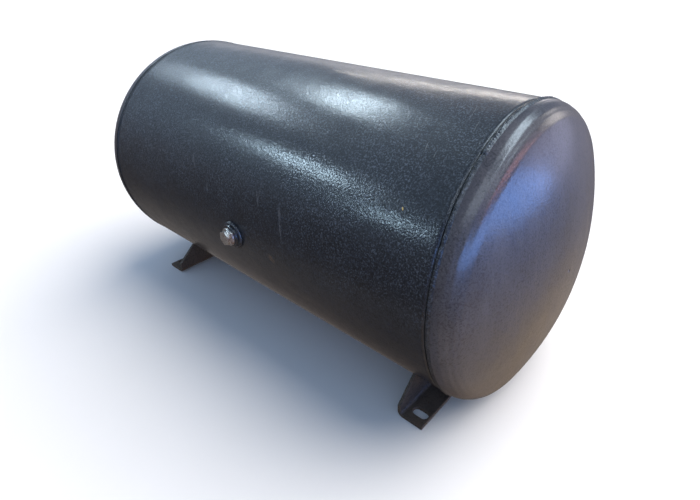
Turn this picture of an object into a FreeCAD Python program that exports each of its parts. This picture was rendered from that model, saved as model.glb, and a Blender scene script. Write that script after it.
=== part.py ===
"""Horizontal pressure tank: a rolled cylindrical shell with two dished heads,
welded girth seams, two screwed side ports and two bent-plate saddles.

Frame: +X along the tank axis, +Z up, origin on the floor plane under the
middle of the tank.  Millimetres.
"""
import FreeCAD, Part
import Sketcher
import math
import os

App = FreeCAD
V = App.Vector

doc = App.newDocument("HorizontalPressureTank")

# --------------------------------------------------------------------------
# Driving dimensions
# --------------------------------------------------------------------------
DIMENSIONS = [
    # alias, value in mm or degrees, what it is
    ("ShellRadius", 200.0, "outer radius of the rolled shell"),
    ("ShellWall", 4.0, "plate thickness of the shell"),
    ("AxisHeight", 208.0, "tank axis above the underside of the saddles"),
    ("SeamHalf", 338.0, "mid-length to the middle of a girth weld"),
    ("RootGap", 3.5, "shell end back from the middle of the girth weld"),
    ("HeadWall", 4.0, "plate thickness of a head"),
    ("HeadDepth", 72.3, "girth weld middle to the crown of a head"),
    ("CrownRadius", 430.0, "outer dish radius of a head"),
    ("KnuckleRadius", 33.0, "outer knuckle radius of a head"),
    ("JoggleLength", 14.0, "length of the joggled edge inside the shell"),
    ("JoggleSlope", 4.5, "length of the joggle's slope"),
    ("JoggleGap", 0.2, "radial gap between the joggled edge and the shell"),
    ("BeadWidth", 10.0, "width of a girth weld"),
    ("BeadHeight", 2.6, "height of a girth weld over the shell"),
    ("SeamWidth", 8.0, "width of the longitudinal weld"),
    ("SeamHeight", 1.6, "height of the longitudinal weld"),
    ("SeamAngle", 45.0, "longitudinal weld, degrees above the rear centreline"),
    ("PortOffset", 0.0, "port axis along the tank from mid-length"),
    ("PortDrop", 8.0, "port axis below the tank axis"),
    ("BossRadius", 17.0, "outer radius of a port boss"),
    ("BossBore", 9.4, "thread core radius of a port boss"),
    ("BossStand", 6.5, "boss face outside the shell surface"),
    ("BossInside", 3.0, "boss end inside the shell's inner surface"),
    ("BossChamfer", 1.2, "chamfer on the boss's outer rim"),
    ("FilletLeg", 4.5, "leg of the fillet weld round a boss"),
    ("CollarRadius", 13.0, "collar radius of a plug"),
    ("CollarHeight", 3.0, "collar thickness of a plug"),
    ("HexAcross", 19.0, "hexagon width across flats"),
    ("HexHeight", 5.5, "hexagon height over the collar"),
    ("ShankRadius", 9.3, "thread radius of a plug"),
    ("ShankLength", 13.0, "thread length of a plug"),
    ("PlatePly", 5.0, "plate thickness of a saddle"),
    ("WebPlane", 268.0, "mid-length to the inboard face of a saddle's web"),
    ("FlangeReach", 40.0, "inboard web face to the outer edge of the flange"),
    ("SaddleHalf", 161.5, "half length of a saddle across the tank"),
    ("BendRadius", 9.0, "outside bend radius of a saddle"),
    ("CornerRise", 19.0, "height of the short upright end of the web"),
    ("ShoulderHalf", 124.0, "half width of the web where it meets the shell"),
    ("ShoulderRise", 53.0, "height of the web's shoulder over the floor"),
    ("SlotWidth", 13.0, "width of a bolt slot"),
    ("SlotLength", 24.0, "length of a bolt slot, end to end"),
    ("SlotAcross", 143.0, "bolt slot middle from the tank's middle plane"),
    ("SlotAlong", 293.0, "bolt slot middle from mid-length"),
    ("SaddleLeg", 4.0, "leg of the fillet welds along a saddle's web"),
    ("WebBlank", 90.0, "height of a saddle's web before it is cut to shape"),
    ("SlopeLag", 1.2, "inner slope of the joggle outboard of the outer one"),
]
sheet = doc.addObject("Spreadsheet::Sheet", "Dimensions")
for row, (alias, value, text) in enumerate(DIMENSIONS, start=1):
    sheet.set("A%d" % row, text)
    sheet.set("B%d" % row, repr(value))
    sheet.setAlias("B%d" % row, alias)
doc.recompute()


def ref(alias):
    return "Dimensions." + alias


def cell(alias):
    """Number that a cell of the sheet holds."""
    return float(sheet.get(alias))


# --------------------------------------------------------------------------
# Helpers
# --------------------------------------------------------------------------
NODES = []


def origin_plane(body, role):
    for feature in body.Origin.OriginFeatures:
        if feature.Role == role:
            return feature
    raise RuntimeError("no origin feature " + role)


def new_body(name, position=(None, None, None), rotation=None):
    """A body whose placement follows the sheet: position holds expressions."""
    body = doc.addObject("PartDesign::Body", name)
    body.Label = name
    if rotation is not None:
        body.Placement = App.Placement(V(0, 0, 0), rotation)
    for axis, text in zip("xyz", position):
        if text:
            body.setExpression("Placement.Base." + axis, text)
    NODES.append(body)
    return body


def new_sketch(body, name, role):
    sketch = body.newObject("Sketcher::SketchObject", name)
    sketch.AttachmentSupport = [(origin_plane(body, role), "")]
    sketch.MapMode = "FlatFace"
    return sketch


def polyline(sketch, points):
    """A closed run of lines through points, fixed corner by corner."""
    n = len(points)
    ids = []
    for i in range(n):
        a, b = points[i], points[(i + 1) % n]
        ids.append(sketch.addGeometry(
            Part.LineSegment(V(a[0], a[1], 0), V(b[0], b[1], 0)), False))
    for i in range(n):
        sketch.addConstraint(Sketcher.Constraint(
            "Coincident", ids[i], 2, ids[(i + 1) % n], 1))
    return ids


def pin(sketch, geo, point, text_x, text_y):
    """Tie one sketch point to expressions for its two coordinates."""
    for kind, text in (("DistanceX", text_x), ("DistanceY", text_y)):
        start = getattr(sketch.getPoint(geo, point), "x" if kind == "DistanceX" else "y")
        index = sketch.addConstraint(Sketcher.Constraint(
            kind, -1, 1, geo, point, start))
        sketch.setExpression("Constraints[%d]" % index, text)


def value_of(text):
    """Number for an expression made of sheet aliases."""
    probe = doc.getObject("Probe")
    if probe is None:
        probe = doc.addObject("Part::Box", "Probe")
    return float(probe.evalExpression(text))


def point_of(pair):
    return (value_of(pair[0]), value_of(pair[1]))


def bound_polygon(sketch, pairs):
    """Closed polygon whose corners are pairs of expressions."""
    ids = polyline(sketch, [point_of(p) for p in pairs])
    for geo, pair in zip(ids, pairs):
        pin(sketch, geo, 1, pair[0], pair[1])
    return ids


def bound_outline(sketch, corners, bends):
    """Closed outline whose corners are pairs of expressions.  bends gives, for
    the side that starts at a corner, a point the arc passes near and either
    its radius or its centre's first coordinate as an expression."""
    points = [point_of(p) for p in corners]
    n = len(points)
    ids = []
    for i in range(n):
        a, b = V(points[i][0], points[i][1], 0), V(points[(i + 1) % n][0], points[(i + 1) % n][1], 0)
        if i in bends:
            mid = bends[i][0]
            edge = Part.Arc(a, V(mid[0], mid[1], 0), b)
        else:
            edge = Part.LineSegment(a, b)
        ids.append(sketch.addGeometry(edge, False))

    def end(geo, corner):
        first, last = sketch.getPoint(geo, 1), sketch.getPoint(geo, 2)
        near = math.hypot(first.x - corner[0], first.y - corner[1])
        far = math.hypot(last.x - corner[0], last.y - corner[1])
        return 1 if near < far else 2

    ends = [(end(ids[i - 1], points[i]), end(ids[i], points[i])) for i in range(n)]
    for i in range(n):
        sketch.addConstraint(Sketcher.Constraint(
            "Coincident", ids[i - 1], ends[i][0], ids[i], ends[i][1]))
    for i in range(n):
        pin(sketch, ids[i], ends[i][1], corners[i][0], corners[i][1])
    for i, (mid, kind, text) in sorted(bends.items()):
        if kind == "radius":
            index = sketch.addConstraint(Sketcher.Constraint("Radius", ids[i], value_of(text)))
        else:
            index = sketch.addConstraint(Sketcher.Constraint(
                "DistanceX", -1, 1, ids[i], 3, sketch.getPoint(ids[i], 3).x))
        sketch.setExpression("Constraints[%d]" % index, text)
    return ids


def signed(sign, text):
    return text if sign > 0 else "-(%s)" % text


# --------------------------------------------------------------------------
# Shell: rolled tube with the two port holes
# --------------------------------------------------------------------------
shell = new_body("shell", (None, None, ref("AxisHeight")))
sk = new_sketch(shell, "ShellSection", "XZ_Plane")
half = "%s - %s" % (ref("SeamHalf"), ref("RootGap"))
outer = ref("ShellRadius")
inner = "%s - %s" % (ref("ShellRadius"), ref("ShellWall"))
bound_polygon(sk, [("-(%s)" % half, inner), (half, inner),
                   (half, outer), ("-(%s)" % half, outer)])
doc.recompute()
rev = shell.newObject("PartDesign::Revolution", "ShellRing")
rev.Profile = sk
rev.ReferenceAxis = (sk, ["H_Axis"])
rev.Angle = 360.0
doc.recompute()
before = shell.Shape.Volume
sk = new_sketch(shell, "PortHoles", "XZ_Plane")
c = sk.addGeometry(Part.Circle(V(cell("PortOffset"), -cell("PortDrop"), 0), V(0, 0, 1), cell("BossRadius")), False)
pin(sk, c, 3, ref("PortOffset"), "-" + ref("PortDrop"))
k = sk.addConstraint(Sketcher.Constraint("Radius", c, cell("BossRadius")))
sk.setExpression("Constraints[%d]" % k, ref("BossRadius"))
doc.recompute()
holes = shell.newObject("PartDesign::Pocket", "PortPocket")
holes.Profile = sk
holes.Type = "ThroughAll"
holes.Midplane = True
shell.Tip = holes
doc.recompute()
cut = before - shell.Shape.Volume
assert cut > 1.5 * math.pi * cell("BossRadius") ** 2 * cell("ShellWall"), cut


# --------------------------------------------------------------------------
# Heads: joggled edge, short straight flange, knuckle and dish
# --------------------------------------------------------------------------
def head_profile(sketch, sign):
    """Section of a head, in axial distance from the tank's middle and radius.
    The dish's centre lies on the axis, the knuckle's under the flange."""
    names = {"R": ref("ShellRadius"), "w": ref("HeadWall"), "seam": ref("SeamHalf"),
             "depth": ref("HeadDepth"), "crown": ref("CrownRadius"), "knuckle": ref("KnuckleRadius")}
    names["jo"] = "(%s - %s - %s)" % (ref("ShellRadius"), ref("ShellWall"), ref("JoggleGap"))
    names["s0"] = "(-%s)" % ref("RootGap")
    names["s1"] = "(%s - %s)" % (ref("JoggleSlope"), ref("RootGap"))
    names["lag"] = ref("SlopeLag")
    names["end"] = "(-%s)" % ref("JoggleLength")
    names["cc"] = "(%(depth)s - %(crown)s)" % names
    names["rk"] = "(%(R)s - %(knuckle)s)" % names
    names["gap"] = "(%(crown)s - %(knuckle)s)" % names
    names["ux"] = "sqrt(%(gap)s * %(gap)s - %(rk)s * %(rk)s)" % names
    names["xk"] = "(%(cc)s + %(ux)s)" % names
    assert value_of(names["xk"]) > value_of("%(s1)s + %(lag)s" % names), "the joggle runs into the knuckle"

    def corner(along, radius):
        return (signed(sign, ("%(seam)s + " + along) % names), radius % names)

    corners = [
        corner("%(end)s", "%(jo)s"), corner("%(s0)s", "%(jo)s"),
        corner("%(s1)s", "%(R)s"), corner("%(xk)s", "%(R)s"),
        corner("%(cc)s + %(ux)s / %(gap)s * %(crown)s", "%(rk)s / %(gap)s * %(crown)s"),
        corner("%(depth)s", "0"), corner("%(depth)s - %(w)s", "0"),
        corner("%(xk)s + %(ux)s / %(gap)s * (%(knuckle)s - %(w)s)",
               "%(rk)s + %(rk)s / %(gap)s * (%(knuckle)s - %(w)s)"),
        corner("%(xk)s", "%(R)s - %(w)s"), corner("%(s1)s + %(lag)s", "%(R)s - %(w)s"),
        corner("%(s0)s + %(lag)s", "%(jo)s - %(w)s"), corner("%(end)s", "%(jo)s - %(w)s")]
    seam, cc, rk, xk = (value_of(names[k]) for k in ("seam", "cc", "rk", "xk"))
    tilt = math.atan2(rk, xk - cc)               # of the line through both centres

    def on_arc(centre, radius, angle):
        return (sign * (seam + centre[0] + radius * math.cos(angle)), centre[1] + radius * math.sin(angle))

    crown, knuckle, w = (value_of(names[k]) for k in ("crown", "knuckle", "w"))
    over = (math.pi / 2 + tilt) / 2
    bends = {
        3: (on_arc((xk, rk), knuckle, over), "radius", names["knuckle"]),
        4: (on_arc((cc, 0), crown, tilt / 2), "radius", names["crown"]),
        6: (on_arc((cc, 0), crown - w, tilt / 2), "radius", "%(crown)s - %(w)s" % names),
        7: (on_arc((xk, rk), knuckle - w, over), "radius", "%(knuckle)s - %(w)s" % names)}
    return bound_outline(sketch, corners, bends)


for name, sign in (("left_head", -1), ("right_head", 1)):
    body = new_body(name, (None, None, ref("AxisHeight")))
    sk = new_sketch(body, name + "_section", "XZ_Plane")
    head_profile(sk, sign)
    doc.recompute()
    rev = body.newObject("PartDesign::Revolution", name + "_dish")
    rev.Profile = sk
    rev.ReferenceAxis = (sk, ["H_Axis"])
    rev.Angle = 360.0
    doc.recompute()


# --------------------------------------------------------------------------
# Girth welds: bead in the groove between the shell end and the joggle
# --------------------------------------------------------------------------
for name, sign in (("left_girth_weld", -1), ("right_girth_weld", 1)):
    body = new_body(name, (None, None, ref("AxisHeight")))
    sk = new_sketch(body, name + "_section", "XZ_Plane")
    outer = ref("ShellRadius")
    root = "%s - %s - %s" % (outer, ref("ShellWall"), ref("JoggleGap"))
    seam, toe, rise = ref("SeamHalf"), "%s / 2" % ref("BeadWidth"), ref("BeadHeight")
    corners = [(signed(sign, "%s - %s" % (seam, ref("RootGap"))), root),
               (signed(sign, "%s - %s + %s" % (seam, ref("RootGap"), ref("JoggleSlope"))), outer),
               (signed(sign, "%s + %s" % (seam, toe)), outer),
               (signed(sign, "%s - %s" % (seam, toe)), outer),
               (signed(sign, "%s - %s" % (seam, ref("RootGap"))), outer)]
    top = (sign * cell("SeamHalf"), cell("ShellRadius") + cell("BeadHeight"))
    bound_outline(sk, corners, {2: (top, "radius", "(%s * %s / 4 + %s * %s) / (2 * %s)" % (
        ref("BeadWidth"), ref("BeadWidth"), rise, rise, rise))})
    doc.recompute()
    rev = body.newObject("PartDesign::Revolution", name + "_bead")
    rev.Profile = sk
    rev.ReferenceAxis = (sk, ["H_Axis"])
    rev.Angle = 360.0
    doc.recompute()


# --------------------------------------------------------------------------
# Longitudinal weld of the rolled shell, on the rear shoulder
# --------------------------------------------------------------------------
body = new_body("long_seam_weld", (None, None, ref("AxisHeight")))
sk = new_sketch(body, "SeamSection", "YZ_Plane")
spread = "%s / 2 / %s * 180 / pi" % (ref("SeamWidth"), ref("ShellRadius"))
low_side = "(%s - %s)" % (ref("SeamAngle"), spread)
high_side = "(%s + %s)" % (ref("SeamAngle"), spread)
corners = [("%s * cos(%s)" % (ref("ShellRadius"), side), "%s * sin(%s)" % (ref("ShellRadius"), side))
           for side in (low_side, high_side)]
chord = "(%s * sin(%s))" % (ref("ShellRadius"), spread)
rise = "(%s + %s - %s * cos(%s))" % (ref("ShellRadius"), ref("SeamHeight"), ref("ShellRadius"), spread)
a0 = math.radians(cell("SeamAngle"))
under = (cell("ShellRadius") * math.cos(a0), cell("ShellRadius") * math.sin(a0))
over = ((cell("ShellRadius") + cell("SeamHeight")) * math.cos(a0),
        (cell("ShellRadius") + cell("SeamHeight")) * math.sin(a0))
bound_outline(sk, corners, {
    0: (under, "radius", ref("ShellRadius")),
    1: (over, "radius", "(%s * %s + %s * %s) / (2 * %s)" % (chord, chord, rise, rise, rise))})
doc.recompute()
pad = body.newObject("PartDesign::Pad", "SeamBead")
pad.Profile = sk
pad.Midplane = True
pad.setExpression("Length", "2 * (%s - %s / 2)" % (ref("SeamHalf"), ref("BeadWidth")))
doc.recompute()


# --------------------------------------------------------------------------
# Ports: boss set through the wall, fillet weld round it, hexagon plug
# --------------------------------------------------------------------------
def port(side):
    """side is 'front' (towards -Y) or 'rear' (towards +Y)."""
    turn = App.Rotation(V(0, 0, 1), 180 if side == "rear" else 0)
    spot = (ref("PortOffset"), None, "%s - %s" % (ref("AxisHeight"), ref("PortDrop")))
    face = "%s + %s" % (ref("ShellRadius"), ref("BossStand"))
    root = "%s - %s - %s" % (ref("ShellRadius"), ref("ShellWall"), ref("BossInside"))

    # boss: a bored ring turned about the port axis (local -Y is outwards)
    body = new_body(side + "_boss", spot, turn)
    sk = new_sketch(body, side + "_boss_section", "XY_Plane")
    bound_polygon(sk, [
        (ref("BossBore"), "-(%s)" % root),
        (ref("BossRadius"), "-(%s)" % root),
        (ref("BossRadius"), "-(%s - %s)" % (face, ref("BossChamfer"))),
        ("%s - %s" % (ref("BossRadius"), ref("BossChamfer")), "-(%s)" % face),
        (ref("BossBore"), "-(%s)" % face)])
    doc.recompute()
    rev = body.newObject("PartDesign::Revolution", side + "_boss_ring")
    rev.Profile = sk
    rev.ReferenceAxis = (sk, ["V_Axis"])
    rev.Angle = 360.0
    doc.recompute()

    # plug: collar on the boss face, hexagon, thread
    body = new_body(side + "_plug", spot, turn)
    sk = new_sketch(body, side + "_plug_section", "XY_Plane")
    top = "%s + %s" % (face, ref("CollarHeight"))
    bound_polygon(sk, [
        ("0", "-(%s - %s)" % (face, ref("ShankLength"))),
        (ref("ShankRadius"), "-(%s - %s)" % (face, ref("ShankLength"))),
        (ref("ShankRadius"), "-(%s)" % face),
        (ref("CollarRadius"), "-(%s)" % face),
        (ref("CollarRadius"), "-(%s - 0.6)" % top),
        ("%s - 0.6" % ref("CollarRadius"), "-(%s)" % top),
        ("0", "-(%s)" % top)])
    doc.recompute()
    rev = body.newObject("PartDesign::Revolution", side + "_plug_turned")
    rev.Profile = sk
    rev.ReferenceAxis = (sk, ["V_Axis"])
    rev.Angle = 360.0
    doc.recompute()
    sk = new_sketch(body, side + "_plug_hexagon", "XZ_Plane")
    bound_polygon(sk, [("%s / sqrt(3) * cos(%d)" % (ref("HexAcross"), 20 + 60 * i),
                        "%s / sqrt(3) * sin(%d)" % (ref("HexAcross"), 20 + 60 * i)) for i in range(6)])
    sk.setExpression("AttachmentOffset.Base.z", top)
    doc.recompute()
    before = body.Shape.Volume
    pad = body.newObject("PartDesign::Pad", side + "_plug_hex")
    pad.Profile = sk
    pad.setExpression("Length", ref("HexHeight"))
    body.Tip = pad
    doc.recompute()
    hexagon = math.sqrt(3) / 2 * cell("HexAcross") ** 2 * cell("HexHeight")
    assert abs(body.Shape.Volume - before - hexagon) < 2, side
    return body


def fillet_weld(side):
    """Cone frustum round the boss, bored to the boss and hollowed by the shell."""
    sign = -1 if side == "front" else 1
    rot = App.Rotation(V(1, 0, 0), 90 if sign < 0 else -90)
    low = 3.0                                    # cone runs on under the shell's skin

    def settle(shape, x, y, z, turn):
        shape.Placement = App.Placement(V(0, 0, 0), turn)
        for axis, text in (("x", x), ("y", y), ("z", z)):
            shape.setExpression("Placement.Base." + axis, text)

    level = "%s - %s" % (ref("AxisHeight"), ref("PortDrop"))
    cone = doc.addObject("Part::Cone", side + "_weld_cone")
    cone.setExpression("Radius1", "%s + %s + %s" % (ref("BossRadius"), ref("FilletLeg"), repr(low)))
    cone.setExpression("Radius2", ref("BossRadius"))
    cone.setExpression("Height", "%s + %s" % (ref("FilletLeg"), repr(low)))
    settle(cone, ref("PortOffset"), signed(sign, "%s - %s" % (ref("ShellRadius"), repr(low))), level, rot)
    bore = doc.addObject("Part::Cylinder", side + "_weld_bore")
    bore.setExpression("Radius", ref("BossRadius"))
    bore.setExpression("Height", "40")
    settle(bore, ref("PortOffset"), signed(sign, "%s - 20" % ref("ShellRadius")), level, rot)
    tube = doc.addObject("Part::Cylinder", side + "_weld_tube")
    tube.setExpression("Radius", ref("ShellRadius"))
    tube.setExpression("Height", "120")
    settle(tube, "%s - 60" % ref("PortOffset"), "0", ref("AxisHeight"), App.Rotation(V(0, 1, 0), 90))
    ring = doc.addObject("Part::Cut", side + "_weld_ring")
    ring.Base, ring.Tool = cone, bore
    weld = doc.addObject("Part::Cut", side + "_boss_weld")
    weld.Base, weld.Tool = ring, tube
    weld.Label = side + "_boss_weld"
    NODES.append(weld)
    doc.recompute()
    return weld


for side in ("front", "rear"):
    port(side)
    fillet_weld(side)


# --------------------------------------------------------------------------
# Saddles: plate bent to an L, web cut to the shell, two bolt slots
# --------------------------------------------------------------------------
def saddle(name, sign):
    body = new_body(name)
    # L section in the XZ plane, extruded along the saddle
    sk = new_sketch(body, name + "_section", "XZ_Plane")
    web, ply, bend = ref("WebPlane"), ref("PlatePly"), ref("BendRadius")
    reach = "%s + %s" % (web, ref("FlangeReach"))
    tall = ref("WebBlank")
    corners = [(signed(sign, along), height) for along, height in (
        (web, tall), (web, bend), ("%s + %s" % (web, bend), "0"), (reach, "0"), (reach, ply),
        ("%s + %s" % (web, bend), ply), ("%s + %s" % (web, ply), bend), ("%s + %s" % (web, ply), tall))]

    def knee(radius):
        """Middle of a bend's arc of a given radius."""
        c = cell("BendRadius") - radius * math.cos(math.radians(45))
        return (sign * (cell("WebPlane") + c), c)

    bound_outline(sk, corners, {
        1: (knee(cell("BendRadius")), "radius", bend),
        5: (knee(cell("BendRadius") - cell("PlatePly")), "radius", "%s - %s" % (bend, ply))})
    doc.recompute()
    pad = body.newObject("PartDesign::Pad", name + "_angle")
    pad.Profile = sk
    pad.Midplane = True
    pad.setExpression("Length", "2 * " + ref("SaddleHalf"))
    doc.recompute()
    # outline of the web: what lies outside it is trimmed away
    before = body.Shape.Volume
    sk = new_sketch(body, name + "_trim", "YZ_Plane")
    for s in (-1, 1):
        def q(text, s=s):
            return text if s > 0 else "-(%s)" % text
        bound_polygon(sk, [
            (q(ref("SaddleHalf") + " + 5"), ref("CornerRise")),
            (q(ref("SaddleHalf")), ref("CornerRise")),
            (q(ref("ShoulderHalf")), ref("ShoulderRise")),
            (q(ref("ShoulderHalf") + " - 3"), "100"),
            (q(ref("SaddleHalf") + " + 5"), "100")])
    doc.recompute()
    trim = body.newObject("PartDesign::Pocket", name + "_shoulders")
    trim.Profile = sk
    trim.Type = "ThroughAll"
    trim.Midplane = True
    body.Tip = trim
    doc.recompute()
    assert before - body.Shape.Volume > 1000, name
    # seat for the shell
    before = body.Shape.Volume
    sk = new_sketch(body, name + "_seat", "YZ_Plane")
    c = sk.addGeometry(Part.Circle(V(0, cell("AxisHeight"), 0), V(0, 0, 1), cell("ShellRadius")), False)
    pin(sk, c, 3, "0", ref("AxisHeight"))
    k = sk.addConstraint(Sketcher.Constraint("Radius", c, cell("ShellRadius")))
    sk.setExpression("Constraints[%d]" % k, ref("ShellRadius"))
    doc.recompute()
    seat = body.newObject("PartDesign::Pocket", name + "_cradle")
    seat.Profile = sk
    seat.Type = "ThroughAll"
    seat.Midplane = True
    body.Tip = seat
    doc.recompute()
    assert before - body.Shape.Volume > 1000, name
    # bolt slots
    before = body.Shape.Volume
    sk = new_sketch(body, name + "_slots", "XY_Plane")
    r = cell("SlotWidth") / 2
    e = cell("SlotLength") / 2 - r
    half = "%s / 2" % ref("SlotWidth")
    flat = "(%s - %s) / 2" % (ref("SlotLength"), ref("SlotWidth"))
    middle = signed(sign, ref("SlotAlong"))
    for s in (-1, 1):
        across = signed(s, ref("SlotAcross"))
        corners = [("%s - %s" % (middle, flat), "%s + %s" % (across, half)),
                   ("%s + %s" % (middle, flat), "%s + %s" % (across, half)),
                   ("%s + %s" % (middle, flat), "%s - %s" % (across, half)),
                   ("%s - %s" % (middle, flat), "%s - %s" % (across, half))]
        cx, cy = sign * cell("SlotAlong"), s * cell("SlotAcross")
        bound_outline(sk, corners, {
            1: ((cx + e + r, cy), "centre", "%s + %s" % (middle, flat)),
            3: ((cx - e - r, cy), "centre", "%s - %s" % (middle, flat))})
    doc.recompute()
    slots = body.newObject("PartDesign::Pocket", name + "_slot_cut")
    slots.Profile = sk
    slots.Type = "Length"
    slots.Midplane = True
    slots.setExpression("Length", "4 * " + ref("PlatePly"))
    body.Tip = slots
    doc.recompute()
    area = math.pi * r * r + 2 * e * 2 * r
    assert abs(before - body.Shape.Volume - 2 * area * cell("PlatePly")) < 5, (name, before - body.Shape.Volume)
    return body


def saddle_weld(name, sign, side):
    """Fillet along one face of the web: a ring section round the shell, kept
    within the web's own width."""
    x = cell("WebPlane") if side == "inner" else cell("WebPlane") + cell("PlatePly")
    step = -1 if side == "inner" else 1
    leg, R, zc = cell("SaddleLeg"), cell("ShellRadius"), cell("AxisHeight")
    reach = math.asin((cell("ShoulderHalf") + 1.0) / R)
    sn, cs = math.sin(reach), math.cos(reach)

    def P(along, radius):
        return V(sign * along, -radius * sn, zc - radius * cs)

    pts = [P(x, R), P(x + step * leg, R), P(x, R + leg)]
    wire = Part.makePolygon(pts + [pts[0]])
    ring = Part.Face(wire).revolve(V(0, 0, zc), V(1, 0, 0), math.degrees(2 * reach))
    feature = doc.addObject("Part::Feature", name)
    feature.Label = name
    feature.Shape = ring
    feature.Placement = App.Placement(V(0, 0, 0), App.Rotation())
    NODES.append(feature)
    return feature


for name, sign in (("left_saddle", -1), ("right_saddle", 1)):
    saddle(name, sign)
    saddle_weld(name + "_inner_weld", sign, "inner")
    saddle_weld(name + "_outer_weld", sign, "outer")

# --------------------------------------------------------------------------
# Check and export
# --------------------------------------------------------------------------
if doc.getObject("Probe") is not None:
    doc.removeObject("Probe")
doc.recompute()
bad = [o.Name for o in doc.Objects if "Invalid" in o.State or "Error" in o.State]
assert not bad, bad
os.makedirs("parts", exist_ok=True)
for node in NODES:
    shape = node.Shape
    assert not shape.isNull() and shape.isValid(), node.Label
    assert len(shape.Solids) == 1, (node.Label, len(shape.Solids))
for node in NODES:
    node.Shape.exportStep("parts/" + node.Label + ".step")
    box = node.Shape.BoundBox
    print("%-28s %10.0f mm3  x %.1f..%.1f  y %.1f..%.1f  z %.1f..%.1f" % (
        node.Label, node.Shape.Volume, box.XMin, box.XMax, box.YMin, box.YMax, box.ZMin, box.ZMax))
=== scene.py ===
import math

import bmesh
import bpy
import numpy as np
from mathutils import Matrix, Vector, noise


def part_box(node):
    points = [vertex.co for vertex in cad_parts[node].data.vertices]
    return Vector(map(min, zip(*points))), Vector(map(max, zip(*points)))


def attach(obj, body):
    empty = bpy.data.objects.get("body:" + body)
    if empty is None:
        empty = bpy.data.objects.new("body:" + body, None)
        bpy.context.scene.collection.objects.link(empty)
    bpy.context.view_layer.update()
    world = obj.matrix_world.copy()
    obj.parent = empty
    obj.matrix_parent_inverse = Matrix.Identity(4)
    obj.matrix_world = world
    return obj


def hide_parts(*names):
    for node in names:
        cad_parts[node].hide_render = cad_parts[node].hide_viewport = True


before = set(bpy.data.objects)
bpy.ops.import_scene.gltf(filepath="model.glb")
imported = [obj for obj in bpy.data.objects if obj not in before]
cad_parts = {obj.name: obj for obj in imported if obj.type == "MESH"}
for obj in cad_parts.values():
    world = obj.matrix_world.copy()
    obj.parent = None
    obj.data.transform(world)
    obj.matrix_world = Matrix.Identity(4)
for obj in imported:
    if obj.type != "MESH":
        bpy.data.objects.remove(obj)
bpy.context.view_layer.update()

RNG = np.random.default_rng(41)

# ---------------------------------------------------------------------------
# Sizes, read from the frame (metres)
# ---------------------------------------------------------------------------
_sl, _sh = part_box("shell")
R = (_sh[1] - _sl[1]) / 2                       # shell radius
WALL = 0.004
AXIS = (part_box("right_girth_weld")[0][2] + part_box("right_girth_weld")[1][2]) / 2
SHELL_END = _sh[0]
_gl, _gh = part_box("right_girth_weld")
SEAM = (_gl[0] + _gh[0]) / 2                    # middle of the girth weld
BEAD_W = _gh[0] - _gl[0]
BEAD_H = (_gh[2] - _gl[2]) / 2 - R
CROWN_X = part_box("right_head")[1][0]
DEPTH = CROWN_X - SEAM
CROWN_R, KNUCKLE = 0.430, 0.033
_bl, _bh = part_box("front_boss")
PORT_X, PORT_Z = (_bl[0] + _bh[0]) / 2, (_bl[2] + _bh[2]) / 2
BOSS_R = (_bh[0] - _bl[0]) / 2


# ---------------------------------------------------------------------------
# Mesh helpers
# ---------------------------------------------------------------------------
def link(me, name):
    ob = bpy.data.objects.new(name, me)
    bpy.context.scene.collection.objects.link(ob)
    return ob


def grid(name, P, close_u=False, close_v=False, caps=False):
    """A smooth quad mesh from an array of points (nu, nv, 3)."""
    nu, nv = P.shape[:2]
    idx = np.arange(nu * nv).reshape(nu, nv)
    a = idx if close_u else idx[:-1]
    b = np.roll(idx, -1, 0) if close_u else idx[1:]
    if close_v:
        a2, b2 = np.roll(a, -1, 1), np.roll(b, -1, 1)
    else:
        a2, b2 = a[:, 1:], b[:, 1:]
        a, b = a[:, :-1], b[:, :-1]
    quads = np.stack([a, b, b2, a2], -1).reshape(-1, 4)
    faces = [quads]
    me = bpy.data.meshes.new(name)
    nq = len(quads)
    loops = quads.reshape(-1)
    starts = np.arange(nq) * 4
    totals = np.full(nq, 4)
    if caps and close_v:
        for row, flip in ((idx[0], True), (idx[-1], False)):
            ring = row[::-1] if flip else row
            starts = np.append(starts, len(loops))
            totals = np.append(totals, len(ring))
            loops = np.append(loops, ring)
    me.vertices.add(nu * nv)
    me.vertices.foreach_set("co", P.reshape(-1).astype(np.float32))
    me.loops.add(len(loops))
    me.loops.foreach_set("vertex_index", loops.astype(np.int32))
    me.polygons.add(len(starts))
    me.polygons.foreach_set("loop_start", starts.astype(np.int32))
    me.update(calc_edges=True)
    me.validate()
    bm = bmesh.new()
    bm.from_mesh(me)
    bmesh.ops.recalc_face_normals(bm, faces=bm.faces)
    bm.to_mesh(me)
    bm.free()
    me.shade_smooth()
    return link(me, name)


def waves(u, v, seed, terms=10, fu=(1, 6), fv=(1, 6)):
    """Smooth seeded unevenness on two periodic or bounded parameters (radians)."""
    rng = np.random.default_rng(seed)
    out = np.zeros(np.broadcast(u, v).shape)
    for _ in range(terms):
        a, b = rng.integers(fu[0], fu[1] + 1), rng.uniform(*fv)
        out = out + rng.normal() * np.cos(a * u + b * v + rng.uniform(0, 6.28)) / math.sqrt(terms)
    return out


def noise1(t, seed, period=None, octaves=3):
    """Seeded one-dimensional noise over an array, periodic if asked."""
    rng = np.random.default_rng(seed)
    out = np.zeros_like(t)
    for o in range(octaves):
        n = 2 ** o
        for _ in range(3):
            k = rng.integers(1, 4) * n if period else rng.uniform(1, 4) * n
            w = 2 * math.pi * k / (period or 1.0)
            out += rng.normal() * np.cos(w * t + rng.uniform(0, 6.28)) / (1.7 * n)
    return out


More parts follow.
